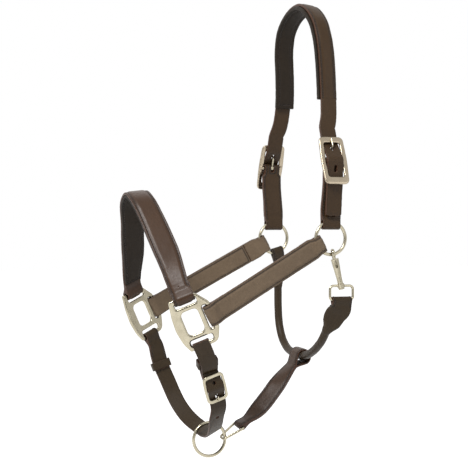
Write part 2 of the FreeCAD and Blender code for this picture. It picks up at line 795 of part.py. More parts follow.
CHIN_BAR = SQUARE.at(chin_fold_at, end_bar_at)
CHIN_WAY = across_bar(chin_fold_way, SQUARE.a)
CHIN_BUCKLE = Frame(chin_buckle_at, chin_buckle_run, chin_buckle_run.cross(chin_buckle_across))
TAB_LEAN = math.radians(chin_tab_lean)
chin_eye = chin_bar_radius + wire_gap
chin_skew = 1.0
export("chin_buckle", make_frame_buckle(CHIN_BUCKLE, chin_buckle_length, chin_width + 0.6 + 2 * chin_buckle_side_bar,
                                        (chin_buckle_end_bar, chin_buckle_end_bar), chin_buckle_side_bar, 0.6,
                                        chin_buckle_thick, 0.8, chin_bar_radius, chin_bar_sink))
chin_rest = chin_buckle_thick / 2 + chin_tongue_radius + pass_gap
export("chin_tongue", make_tongue(CHIN_BUCKLE, chin_bar_radius, chin_bar_sink, chin_tongue_radius,
                                  [(1.6, -4.6), (8.4, -4.9), (11.4, chin_rest), (15.6, chin_rest)],
                                  2.8))


def chin_tab_course():
    first = Frame(CHIN_BAR, CHIN_WAY, OUT).moved(13.0 - lap)
    bar_at = CHIN_BUCKLE.at(0, -chin_bar_sink)
    up = CHIN_BUCKLE.a * -math.cos(TAB_LEAN) + CHIN_BUCKLE.b * -math.sin(TAB_LEAN)
    last = Frame(bar_at, up, CHIN_BUCKLE.b)
    return first, last


CHIN_FIRST, CHIN_LAST = chin_tab_course()
CHIN_TAB = course(CHIN_FIRST, [], CHIN_LAST.moved(20.0 - lap))


def make_chin_tab():
    top = fold_end(Frame(CHIN_BAR, CHIN_WAY, OUT), square_bar_eye, chin_tab_leather, 0.0, 13.0,
                   chin_tab_leather, chin_tab_leather, chin_width)
    low = fold_end(CHIN_LAST, chin_eye, chin_tab_leather, 0.0, 20.0, chin_tab_leather, chin_tab_leather, chin_width)
    middle = CHIN_TAB.solid(CHIN_TAB.start, CHIN_TAB.end, [chin_width] * 2, -chin_tab_leather, chin_tab_leather, 13)
    tab = joined(top, middle, low)
    return tab.cut(slab(CHIN_BUCKLE, [box(-3.2, 8.0, -9.0, 8.0)], 3.8))


export("chin_tab", make_chin_tab())

chin_pass = chin_eye + chin_tab_leather + pass_gap + chin_leather / 2
chin_low = (chin_buckle_length / 2 + 3.0, -chin_buckle_thick / 2 - pass_gap - chin_leather / 2 - 0.3)
chin_in = (chin_buckle_length / 2 - chin_buckle_end_bar - 0.5, chin_low[1])
tab_face = chin_tab_leather + layer_gap + skin + chin_leather / 2


def from_tab(along, out):
    """Point of the chin buckle's frame (a, b), from distances along and out of the tab's lower end."""
    cosine = math.cos(TAB_LEAN)
    sine = math.sin(TAB_LEAN)
    return (-along * cosine - out * sine, -chin_bar_sink - along * sine + out * cosine)


chin_behind = from_tab(14.4, tab_face)
chin_end = from_tab(18.8, tab_face)
chin_top, chin_rise, chin_fall = tangent_corner(chin_in, (0, -chin_bar_sink), chin_pass, chin_behind, -1)


def make_chin():
    far_fold = Frame(mirrored(CHIN_BAR), mirrored(CHIN_WAY), mirrored(OUT))
    far_end = fold_end(far_fold, square_bar_eye, chin_loop_leather, 0.0, 13.0, chin_leather, chin_loop_leather,
                       chin_width)
    start = far_fold.moved(13.0 - lap)
    low = Frame(CHIN_BUCKLE.at(chin_low[0] - lap, chin_low[1] - chin_leather / 2), CHIN_BUCKLE.a, CHIN_BUCKLE.b)
    tilt = math.radians(chin_bottom_tilt)
    bottom = V(0, math.cos(tilt), math.sin(tilt))
    plain = V(0, 0.94, 0.342)
    mids = []
    for x, y, z in chin_far_course:
        mids.append((V(-x, y, z), plain))
    for x, y, z in chin_course:
        mids.append((V(-x, y, z), plain if x > 60 else bottom))
    mids.append((V(0, chin_low_y, chin_low_z), bottom))
    for x, y, z in chin_course[:0:-1]:
        mids.append((V(x, y, z), plain if x > 60 else bottom))
    stations = [(start.origin, start.c)] + mids + [(low.origin, low.c * -1)]
    ribbon = Ribbon(stations, start.a, low.a * -1)
    strap = ribbon.solid(ribbon.start, ribbon.end, [chin_width] * 2, 0.0, chin_leather, 61)
    back = ribbon.solid(ribbon.start, ribbon.along(chin_return - 12.0), [chin_width - 0.2] * 2,
                        -chin_loop_leather, 1.0, 11)
    buckled = slab(CHIN_BUCKLE, [band([chin_low, chin_in, chin_top, chin_behind, chin_end],
                                      [0, 9.0, chin_pass, 12.0, 0], chin_leather + 2 * skin)],
                   chin_width + 2 * skin)
    for a, corner, angle, long in ((chin_hole_at, chin_in, chin_rise, hole_length),
                                   (chin_spare_hole_at, chin_top, chin_fall, chin_hole + 1.0)):
        b = corner[1] + (a - corner[0]) * math.tan(math.radians(angle))
        buckled = buckled.cut(punch(CHIN_BUCKLE, a, b, angle, long, chin_hole))
    tab_way = CHIN_BUCKLE.a * -math.cos(TAB_LEAN) + CHIN_BUCKLE.b * -math.sin(TAB_LEAN)
    end = Frame(CHIN_BUCKLE.at(*chin_end), tab_way, CHIN_BUCKLE.b).moved(-lap, -chin_leather / 2)
    stations = [(end.origin, end.c)]
    for back_along, out in billet_over_tab:
        spot = CHIN_TAB.frame(CHIN_TAB.along(-back_along))
        stations.append((spot.at(0, out), spot.c * -1))
    spot = Frame(CHIN_BAR, CHIN_WAY * -1, OUT)
    stations.append((spot.at(-6.0, chin_over_square), spot.c))
    stations.append((spot.at(8.5, chin_over_square + 0.4), spot.c))
    tip_way = stations[-1][0] - stations[-2][0]
    tail = Ribbon(stations, end.a, tip_way)
    billet = tail.solid(tail.start, tail.end, [chin_width] * 2, 0.0, chin_leather, 19)
    billet = pointed(billet, tail.frame(tail.end), chin_width, chin_tip_length)
    low_hole = ribbon.frame(ribbon.along(-chin_hole_low))
    strap = strap.cut(punch(low_hole, 0, chin_leather / 2, 0, chin_hole + 1.0, chin_hole))
    far_keeper = ribbon.frame(ribbon.along(chin_return - 12.0 - 5.5))
    return joined(strap, far_end, back, buckled, billet), far_keeper


def keeper(frame, width, high, low):
    """Closed leather loop round a strap that reaches from -low to high of the frame."""
    half = width / 2 + keeper_room
    across = Frame(frame.origin, frame.b, frame.c)
    hole = box(-low - keeper_gap, high + keeper_gap, -half, half, 0.8)
    rim = [(a + math.copysign(keeper_leather, a), c + math.copysign(keeper_leather, c), 2.0) for a, c, r in hole]
    return slab(across, [rim, hole], keeper_length)


chin_strap, far_keeper_at = make_chin()
export("chin_strap", chin_strap)
spot = CHIN_TAB.frame(CHIN_TAB.along(-near_keeper_up))
export("near_chin_keeper", keeper(spot, chin_width, chin_tab_leather + keeper_lift, chin_tab_leather + keeper_lift))
export("far_chin_keeper", keeper(far_keeper_at, chin_width, chin_leather, chin_loop_leather))

# ---------------------------------------------------------------- chin ring, link and gullet strap

CHIN_RING = V(0, chin_ring_y, chin_ring_z)
export("chin_ring", Part.makeTorus(chin_ring_radius, chin_ring_wire / 2, CHIN_RING, AXIS_X))

CATCH = math.radians(link_catch)
catch_at = CHIN_RING + V(0, math.cos(CATCH), math.sin(CATCH)) * chin_ring_radius
link_way = V(catch_at - link_at).normalize()
LINK = Frame(link_at, link_way, link_across)


def make_link():
    reach = (catch_at - link_at).Length + link_overrun
    half_bar = link_width / 2 - link_wire / 2
    narrow = link_tip_radius
    corners = [(0, -half_bar, link_corner), (reach, -narrow, narrow - 0.05), (reach, narrow, narrow - 0.05),
               (0, half_bar, link_corner)]
    path = rounded(LINK, corners)
    edge = path.Edges[0]
    profile = Part.Wire([Part.makeCircle(link_wire / 2, edge.valueAt(edge.FirstParameter),
                                         edge.tangentAt(edge.FirstParameter))])
    return path.makePipeShell([profile], True, False)


export("gullet_link", make_link())

THROAT_PATH, radii = route(roll_course)
print("roll bends", [round(r, 1) for r in radii])


def make_gullet():
    roll_at, roll_way = nearest(THROAT_PATH, gullet_x)
    way = V(across_bar(gullet_course[0] - roll_at, roll_way)).normalize()
    beside = V(roll_way.cross(way))
    if beside.y > 0:
        beside = beside * -1
    skew = math.radians(gullet_skew)
    across = way.cross(beside) * math.cos(skew) + beside * math.sin(skew)
    eye = roll_diameter / 2 + gullet_roll_gap
    first = Frame(roll_at + way * (gullet_roll_gap - gullet_rest), way, across.cross(way))
    wall = eye + gullet_leather
    long = gullet_loop_length
    half = gullet_leather + skin
    outer = [(-wall, wall, wall), (2.0, wall, 6.0), (long - 3.0, half, 9.0), (long, half),
             (long, -half), (long - 3.0, -half, 9.0), (2.0, -wall, 6.0), (-wall, -wall, wall)]
    inner = [(-eye, eye, eye), (1.5, eye, 4.5), (long - 5.0, 0.35, 0.2), (long - 5.0, -0.35, 0.2),
             (1.5, -eye, 4.5), (-eye, -eye, eye)]
    loop = slab(first, [outer, inner], gullet_width + 2 * skin)
    link_side = across_bar(gullet_course[-1] - link_at, LINK.b)
    last = Frame(link_at, link_side, link_side.cross(LINK.b))
    end = fold_end(last, link_wire / 2 + wire_gap, gullet_leather, 0.0, 11.0, gullet_leather, gullet_leather,
                   gullet_end_width)
    begin = first.moved(long - lap)
    finish = last.moved(11.0 - lap)
    broad = gullet_across * math.copysign(1.0, gullet_across.dot(begin.c))
    mids = [(point, broad) for point in gullet_course[:-1]]
    print("gullet turns", round(math.degrees(broad.getAngle(begin.c))),
          round(math.degrees(broad.getAngle(finish.c * -1))))
    ribbon = course(begin, mids, finish)
    middle = ribbon.solid(ribbon.start, ribbon.end, [gullet_width] * 6 + [gullet_end_width],
                          -gullet_leather, gullet_leather, 15)
    return joined(loop, middle, end)


def nearest(path, x):
    """Point and direction on a wire where it crosses x."""
    best = None
    for edge in path.Edges:
        for step in range(21):
            mark = edge.FirstParameter + (edge.LastParameter - edge.FirstParameter) * step / 20
            point = edge.valueAt(mark)
            if best is None or abs(point.x - x) < abs(best[0].x - x):
                best = (point, edge.tangentAt(mark))
    return best


export("gullet_strap", make_gullet())

# ---------------------------------------------------------------- trigger snap

catch_drop = math.sqrt(ring_radius ** 2 - (snap_ring_y - ring_y) ** 2)
HOOKED = V(ring_x, snap_ring_y, ring_z - catch_drop)
TURN = math.radians(snap_turn)
SNAP = Frame(HOOKED, V(snap_lean_x, snap_lean_y, -snap_lean_z), V(math.cos(TURN), -math.sin(TURN), 0))
BODY = SNAP.moved(0, snap_body_shift)


def make_hook():
    side = snap_bowl_radius + snap_hook_thick / 2
    top = snap_crown - side
    corners = [(snap_gate_at, side), (top, side), (top, -side), (3.0, -side), (snap_body_top + 5.0, snap_body_shift - 1.0)]
    edges, bends = route_flat(SNAP, corners, side - 0.05)
    hook = swept(edges, snap_hook_thick / 2)
    body = Part.makeCone(snap_body_radius, snap_neck_radius, snap_body_height, BODY.at(snap_body_top), BODY.a)
    low = snap_body_top + snap_body_height
    neck = rod(BODY.at(low - 0.5), BODY.at(snap_reach - neck_back), snap_neck_radius - 0.2)
    stem = rod(BODY.at(snap_reach - 1), BODY.at(snap_reach + eye_boss_length + 1.6), stem_radius)
    rivet = rod(BODY.at(snap_reach + eye_boss_length + 0.3), BODY.at(snap_reach + eye_boss_length + 2.0),
                stem_radius + 1.2)
    whole = joined(body, hook, neck, stem, rivet)
    bore = snap_body_top + snap_bolt_length + snap_travel
    whole = whole.cut(rod(SNAP.at(snap_body_top - 1, side), SNAP.at(bore, side), snap_bolt_radius + pivot_gap))
    slot = Frame(SNAP.at(0, side), SNAP.a, SNAP.c)
    gap = snap_knob_radius + pivot_gap
    cut = slab(slot, [stadium(snap_knob_at, snap_knob_at + snap_travel, gap)], 12, -6.0)
    return whole.cut(cut)


def route_flat(frame, corners, radius):
    """Open wire of runs and tangent arcs through corners (a, b) of a frame."""
    edges = []
    here = frame.at(*corners[0])
    for index in range(1, len(corners) - 1):
        corner = frame.at(*corners[index])
        into = corner - frame.at(*corners[index - 1])
        out = frame.at(*corners[index + 1]) - corner
        half_turn = into.getAngle(out) / 2
        room = 0.49 * min(into.Length, out.Length)
        bend = min(radius, room / math.tan(half_turn))
        back = bend * math.tan(half_turn)
        start = corner - V(into).normalize() * back
        end = corner + V(out).normalize() * back
        inward = (V(out).normalize() - V(into).normalize()).normalize()
        middle = corner + inward * (bend / math.cos(half_turn) - bend)
        edges.append(Part.makeLine(here, start))
        edges.append(Part.Arc(start, middle, end).toShape())
        here = end
    edges.append(Part.makeLine(here, frame.at(*corners[-1])))
    return Part.Wire(edges), radius


def make_bolt():
    side = snap_bowl_radius + snap_hook_thick / 2
    bolt = rod(SNAP.at(snap_gate_at + 0.25, side), SNAP.at(snap_body_top + snap_bolt_length, side), snap_bolt_radius)
    knob = rod(SNAP.at(snap_knob_at, side), SNAP.at(snap_knob_at, side + snap_knob_out), snap_knob_radius)
    return joined(bolt, knob)


def make_spring():
    side = snap_bowl_radius + snap_hook_thick / 2
    start = snap_body_top + snap_bolt_length + 0.1
    length = snap_travel - 0.2
    wire = 0.3
    helix = Part.makeHelix(length / 5.0, length - 2 * wire, snap_bolt_radius - 0.45)
    turned = FreeCAD.Placement(SNAP.at(start + wire, side), FreeCAD.Rotation(V(0, 0, 1), SNAP.a))
    helix.Placement = turned
    edge = helix.Edges[0]
    profile = Part.Wire([Part.makeCircle(wire, edge.valueAt(edge.FirstParameter), edge.tangentAt(edge.FirstParameter))])
    return Part.Wire(helix.Edges).makePipeShell([profile], True, True)


EYE_AT = BODY.at(snap_reach + eye_boss_length / 2)


def make_eye():
    half_c = eye_width / 2 - eye_wire / 2
    top = EYE_AT
    flat = Frame(V(top.x, top.y + eye_shift, top.z - eye_height / 2 + eye_wire / 2), V(0, 1, 0), V(0, 0, 1))
    half_b = eye_height / 2 - eye_wire / 2
    path = rounded(flat, box(-half_c, half_c, -half_b, half_b, 4.5))
    edge = path.Edges[0]
    profile = Part.Wire([Part.makeCircle(eye_wire / 2, edge.valueAt(edge.FirstParameter),
                                         edge.tangentAt(edge.FirstParameter))])
    ring = path.makePipeShell([profile], True, False)
    boss = rod(BODY.at(snap_reach - neck_back + pivot_gap), BODY.at(snap_reach + eye_boss_length), eye_boss_radius)
    bore = rod(BODY.at(snap_reach - 5), BODY.at(snap_reach + eye_boss_length + 5), stem_radius + pivot_gap)
    low_bar = V(flat.origin.x, flat.origin.y, flat.origin.z - half_b)
    return joined(ring, boss).cut(bore), low_bar


export("snap_hook", make_hook())
export("snap_bolt", make_bolt())
export("snap_spring", make_spring())
snap_eye, LOW_BAR = make_eye()
export("snap_eye", snap_eye)
print("low bar", LOW_BAR)

# ---------------------------------------------------------------- throat strap and its core


def make_throat():
    tube = swept(THROAT_PATH, roll_diameter / 2).cut(swept(THROAT_PATH, roll_diameter / 2 - roll_wall))
    round_size = roll_diameter + 0.4

    near_fold = Frame(LOW_BAR, V(0, 0, -1), AXIS_X)
    leather = leaf_thick / 2
    near_end = fold_end(near_fold, eye_wire / 2 + wire_gap, leather, 0.0, 8.0, leather, leather, leaf_fold_width)
    last = roll_course[-1]
    way = V(last - roll_course[-2]).normalize()
    inside = Frame(last - way * 2.0, way, near_fold.c)
    begin = near_fold.moved(8.0 - lap)
    mids = [(V(*p), V(*w)) for p, w in leaf_course]
    leaf = Ribbon([(begin.origin, begin.c)] + mids + [(inside.origin, V(0, -0.9, 0.3))], begin.a, way * -1)
    near = leaf.morph(leaf.start, leaf.end, [leaf_fold_width - 0.1, 26.5, 26.8, 25.5, 22.5, 14.5, round_size],
                      [leaf_thick - 0.2, leaf_thick, leaf_thick + 0.4, 6.0, 7.4, 9.4, round_size],
                      [0.2, 0.3, 0.4, 0.6, 0.8, 0.93, 0.96], 25)

    tilt = math.radians(throat_tab_tilt)
    down = V(-0.07, math.sin(tilt), -math.cos(tilt))
    out_way = V(0, math.sin(tilt), -math.cos(tilt))
    inner, outer = ring_eye(throat_tab_width)
    far_fold = Frame(mirrored(RING) + out_way * inner, down, AXIS_X * -1)
    half = throat_tab_thick / 2
    far_end = fold_end(far_fold, ring_wire / 2 + wire_gap + 0.15, throat_leather, outer - inner, 18.0, half, half,
                       throat_tab_width)
    first = roll_course[0]
    way = V(first - roll_course[1]).normalize()
    inside = first - way * 2.0
    begin = far_fold.moved(18.0 - lap)
    tab = Ribbon([(begin.origin, begin.c), (V(-86.9, throat_tab_y + 1.0, -326.0), V(0, 1, 0)),
                  (inside, V(0, 1, 0))], begin.a, way * -1)
    far = tab.morph(tab.start, tab.end, [throat_tab_width - 0.1, throat_tab_width, throat_tab_width, 14.0, round_size],
                    [throat_tab_thick, throat_tab_thick, 5.0, 8.0, round_size],
                    [0.2, 0.3, 0.6, 0.9, 0.96], 15)
    ends = [near_end, near, far, far_end]
    whole = tube
    for piece in ends:
        whole = whole.fuse(piece)
    section = math.pi * ((roll_diameter / 2) ** 2 - (roll_diameter / 2 - roll_wall) ** 2)
    print("tube volume", round(tube.Volume), "section times length", round(section * THROAT_PATH.Length))
    core = swept(THROAT_PATH, roll_diameter / 2 - roll_wall - core_gap)
    for point, towards in ((roll_course[0], roll_course[1]), (roll_course[-1], roll_course[-2])):
        way = V(towards - point).normalize()
        core = core.cut(rod(point - way * 5, point + way * 2.4, 8.0))
    return whole, core


throat, core = make_throat()
export("throat_strap", throat)
export("throat_core", core)
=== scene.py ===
"""Leather headcollar: the finish of its leathers, thread and hardware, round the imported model.

Metres, in the model's own frame: +X is the near side, -Y is towards the nose, +Z is up.
"""

import json
import math

import bmesh
import bpy
from bpy.props import FloatProperty, FloatVectorProperty, PointerProperty
from mathutils import Matrix, Vector, noise
from mathutils.bvhtree import BVHTree
from mathutils.kdtree import KDTree


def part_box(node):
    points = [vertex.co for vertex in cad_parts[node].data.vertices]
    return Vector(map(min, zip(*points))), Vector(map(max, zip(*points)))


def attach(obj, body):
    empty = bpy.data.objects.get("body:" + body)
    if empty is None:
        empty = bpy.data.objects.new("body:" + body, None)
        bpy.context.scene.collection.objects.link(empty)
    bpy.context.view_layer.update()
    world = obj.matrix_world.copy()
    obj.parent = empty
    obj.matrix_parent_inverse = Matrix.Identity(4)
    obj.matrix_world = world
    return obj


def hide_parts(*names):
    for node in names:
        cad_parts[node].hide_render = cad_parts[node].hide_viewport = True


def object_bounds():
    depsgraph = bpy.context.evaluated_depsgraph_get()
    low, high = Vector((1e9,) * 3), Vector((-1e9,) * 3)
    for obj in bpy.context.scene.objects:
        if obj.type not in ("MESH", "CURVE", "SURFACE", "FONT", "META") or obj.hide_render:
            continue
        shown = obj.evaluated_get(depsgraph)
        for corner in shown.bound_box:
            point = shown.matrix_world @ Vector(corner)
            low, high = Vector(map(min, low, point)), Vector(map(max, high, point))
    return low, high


bl_info = {
    "name": "Leather headcollar",
    "version": (1, 0, 0),
    "blender": (4, 5, 0),
    "location": "3D View > Sidebar > Headcollar",
    "description": "Dresses the headcollar's straps, linings, thread and hardware",
    "category": "Object",
}

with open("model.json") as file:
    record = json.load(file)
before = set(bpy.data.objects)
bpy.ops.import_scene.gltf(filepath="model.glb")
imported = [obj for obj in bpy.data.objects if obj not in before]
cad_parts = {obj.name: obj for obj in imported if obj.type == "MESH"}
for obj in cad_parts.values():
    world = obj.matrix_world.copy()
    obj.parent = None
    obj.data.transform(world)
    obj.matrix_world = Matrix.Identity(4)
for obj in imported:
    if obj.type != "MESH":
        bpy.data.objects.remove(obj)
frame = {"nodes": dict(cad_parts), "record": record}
NODES = frame["nodes"]
CAD_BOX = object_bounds()
BODY_OF = {node: body for body, members in frame["record"]["behaviour"]["bodies"].items() for node in members}
MM = 0.001

# Above these heights the rolled throat strap is flat, on its far and on its near side
FAR_ROLL_END = -0.3420 + 6 * MM
NEAR_ROLL_END = -0.3890 + 12 * MM


# ---------------------------------------------------------------- colours and materials

def linear(colour):
    """Linear RGBA of an sRGB colour in hex."""
    parts = [int(colour[i:i + 2], 16) / 255 for i in (1, 3, 5)]
    return tuple(c / 12.92 if c <= 0.04045 else ((c + 0.055) / 1.055) ** 2.4 for c in parts) + (1.0,)


def add(tree, kind, inputs=(), **settings):
    """A node of a kind, with its settings, and its inputs set or linked."""
    node = tree.nodes.new(kind)
    for name, value in settings.items():
        setattr(node, name, value)
    for name, value in dict(inputs).items():
        if isinstance(value, bpy.types.NodeSocket):
            tree.links.new(value, node.inputs[name])
        else:
            node.inputs[name].default_value = value
    return node


def blank_material(name):
    """A material with an emptied node tree, and its output."""
    material = bpy.data.materials.new(name)
    material.use_nodes = True
    tree = material.node_tree
    tree.nodes.clear()
    return material, tree, add(tree, "ShaderNodeOutputMaterial")


def mix_colour(tree, factor, first, second):
    mixed = add(tree, "ShaderNodeMix", {0: factor, 6: first, 7: second}, data_type="RGBA")
    return mixed.outputs[2]


def scaled(tree, value, low, high):
    """A value from 0 to 1 stretched between two others."""
    ranged = add(tree, "ShaderNodeMapRange", {"Value": value, "To Min": low, "To Max": high})
    return ranged.outputs["Result"]


def leather(name, dye, pull, edge_dye, rough, grain_mm, grain_depth, wax):
    """Cowhide dyed through and dressed with wax.

    The dye takes unevenly over a few centimetres. Along the edges it is darkened, partly as handling
    wear and partly as painted shade where the rounded edges turn from the light. The sewn grooves get
    painted shade, drawn nearly black, and the cut edges have a dye of their own. Its grain is drawn about
    twice as coarse as real hide, because the real one is too fine to show.
    """
    material, tree, output = blank_material(name)
    place = add(tree, "ShaderNodeTexCoord").outputs["Object"]
    broad = add(tree, "ShaderNodeTexNoise",
                {"Vector": place, "Scale": 1 / (38 * MM), "Detail": 3.0}).outputs["Fac"]
    mottle = add(tree, "ShaderNodeTexNoise",
                 {"Vector": place, "Scale": 1 / (4.5 * MM), "Detail": 4.0}).outputs["Fac"]
    grain = add(tree, "ShaderNodeTexVoronoi", {"Vector": place, "Scale": 1 / (grain_mm * MM)},
                feature="SMOOTH_F1").outputs["Distance"]
    pores = add(tree, "ShaderNodeTexNoise",
                {"Vector": place, "Scale": 1 / (0.7 * MM), "Detail": 2.0}).outputs["Fac"]
    # rim: highest at a face's edges; it darkens them, partly as handling wear and partly as painted shade of
    # the rounded edge
    rim = add(tree, "ShaderNodeAttribute", attribute_name="rim").outputs["Fac"]
    cut = add(tree, "ShaderNodeAttribute", attribute_name="cut").outputs["Fac"]
    # seam: each stitch groove's profile across its width, used here to paint shade into the groove
    seam = add(tree, "ShaderNodeAttribute", attribute_name="seam").outputs["Fac"]
    tone = mix_colour(tree, scaled(tree, broad, 0.0, 1.0), dye, pull)
    deep = tuple(c * 0.5 for c in dye[:3]) + (1.0,)
    tone = mix_colour(tree, scaled(tree, mottle, 0.0, 0.35), tone, deep)
    tone = mix_colour(tree, scaled(tree, grain, 0.22, 0.0), tone, deep)
    # Faces darken towards their edges: partly handling wear, partly painted shade where the rounded edge
    # turns from the light
    tone = mix_colour(tree, scaled(tree, rim, 0.0, 0.8), tone, deep)
    # Painted shade: the stitch grooves are drawn nearly black, for the shade that falls into them
    tone = mix_colour(tree, scaled(tree, seam, 0.0, 1.0), tone, tuple(c * 0.18 for c in dye[:3]) + (1.0,))
    tone = mix_colour(tree, cut, tone, edge_dye)
    roughness = scaled(tree, mottle, rough - 0.07, rough + 0.09)
    height = add(tree, "ShaderNodeMath", {0: grain, 1: pores}, operation="ADD").outputs["Value"]
    relief = add(tree, "ShaderNodeBump", {"Height": height, "Strength": grain_depth, "Distance": 0.25 * MM})
    shader = add(tree, "ShaderNodeBsdfPrincipled",
                 {"Base Color": tone, "Roughness": roughness, "IOR": 1.33, "Coat Weight": wax,
                  "Coat Roughness": 0.36, "Normal": relief.outputs["Normal"]})
    tree.links.new(shader.outputs["BSDF"], output.inputs["Surface"])
    return material


def waxed_thread(name, dye):
    """Twisted linen thread drawn through wax: the twist shows as fine slanting ridges."""
    material, tree, output = blank_material(name)
    place = add(tree, "ShaderNodeTexCoord").outputs["Object"]
    twist = add(tree, "ShaderNodeTexNoise",
                {"Vector": place, "Scale": 1 / (0.5 * MM), "Detail": 1.0}).outputs["Fac"]
    deep = tuple(c * 0.6 for c in dye[:3]) + (1.0,)
    tone = mix_colour(tree, twist, dye, deep)
    relief = add(tree, "ShaderNodeBump", {"Height": twist, "Strength": 0.3, "Distance": 0.15 * MM})
    shader = add(tree, "ShaderNodeBsdfPrincipled",
                 {"Base Color": tone, "Roughness": 0.55, "IOR": 1.5, "Normal": relief.outputs["Normal"]})
    tree.links.new(shader.outputs["BSDF"], output.inputs["Surface"])
    return material


def plated_metal(name, colour, tarnish, rough, dimple_mm, dimple_depth):
    """Nickel plate over a casting or wire, satin finished.

    The plate is warm and dulled in clouds, which are rougher too, over the casting's faint waviness.
    """
    material, tree, output = blank_material(name)
    place = add(tree, "ShaderNodeTexCoord").outputs["Object"]
    cloud = add(tree, "ShaderNodeTexNoise",
                {"Vector": place, "Scale": 1 / (9 * MM), "Detail": 4.0}).outputs["Fac"]
    wave = add(tree, "ShaderNodeTexNoise",
               {"Vector": place, "Scale": 1 / (dimple_mm * MM), "Detail": 2.0}).outputs["Fac"]
    tone = mix_colour(tree, scaled(tree, cloud, 0.0, 0.8), colour, tarnish)
    roughness = scaled(tree, cloud, rough - 0.06, rough + 0.08)
    relief = add(tree, "ShaderNodeBump", {"Height": wave, "Strength": dimple_depth, "Distance": 0.3 * MM})
    shader = add(tree, "ShaderNodeBsdfPrincipled",
                 {"Base Color": tone, "Metallic": 1.0, "Roughness": roughness,
                  "Normal": relief.outputs["Normal"]})
    tree.links.new(shader.outputs["BSDF"], output.inputs["Surface"])
    return material


def twisted_cord(name, colour):
    """Jute cord that fills the rolled strap."""
    material, tree, output = blank_material(name)
    place = add(tree, "ShaderNodeTexCoord").outputs["Object"]
    strand = add(tree, "ShaderNodeTexWave",
                 {"Vector": place, "Scale": 1 / (3 * MM), "Distortion": 2.0}).outputs["Fac"]
    deep = tuple(c * 0.5 for c in colour[:3]) + (1.0,)
    tone = mix_colour(tree, strand, colour, deep)
    shader = add(tree, "ShaderNodeBsdfPrincipled", {"Base Color": tone, "Roughness": 0.85})
    tree.links.new(shader.outputs["BSDF"], output.inputs["Surface"])
    return material


MATERIALS = {}


def material_of(name):
    """The named material, made when it is first wanted."""
    if not MATERIALS:
        dyes = bpy.context.scene.headcollar_tints
        cut_edge = tuple(dyes.cut_edge)
        MATERIALS["strap"] = leather("waxed_bridle_leather", tuple(dyes.strap), tuple(dyes.strap_pull),
                                     cut_edge, rough=0.46, grain_mm=1.3, grain_depth=0.26, wax=0.05)
        MATERIALS["nose"] = leather("waxed_noseband_leather", tuple(dyes.nose), tuple(dyes.nose_pull),
                                    cut_edge, rough=0.40, grain_mm=1.3, grain_depth=0.22, wax=0.06)
        # Crown leather darker than the strap leather: partly its own dye, partly painted shade for the dimmer
        # light on the crown
        MATERIALS["crown"] = leather("waxed_crown_leather", tuple(dyes.crown), tuple(dyes.crown_pull),
                                     cut_edge, rough=0.48, grain_mm=1.3, grain_depth=0.22, wax=0.04)
        MATERIALS["soft"] = leather("supple_strap_leather", tuple(dyes.soft), tuple(dyes.soft_pull),
                                    cut_edge, rough=0.50, grain_mm=1.5, grain_depth=0.24, wax=0.03)
        MATERIALS["lining"] = leather("soft_lining_leather", tuple(dyes.lining), tuple(dyes.lining_pull),
                                      tuple(dyes.lining), rough=0.62, grain_mm=1.8, grain_depth=0.35, wax=0.0)
        MATERIALS["thread"] = waxed_thread("waxed_linen_thread", tuple(dyes.thread))
        nickel = (tuple(dyes.nickel), tuple(dyes.nickel_dull))
        MATERIALS["casting"] = plated_metal("satin_nickel_casting", *nickel,
                                            rough=0.20, dimple_mm=5.0, dimple_depth=0.12)
        MATERIALS["buckle"] = plated_metal("worn_nickel_buckle", tuple(dyes.buckle), tuple(dyes.buckle_dull),
                                           rough=0.26, dimple_mm=4.0, dimple_depth=0.12)
        MATERIALS["wire"] = plated_metal("nickel_plated_wire", *nickel,
                                         rough=0.24, dimple_mm=3.0, dimple_depth=0.05)
        MATERIALS["cord"] = twisted_cord("jute_cord", linear("#9a7d54"))
    return MATERIALS[name]


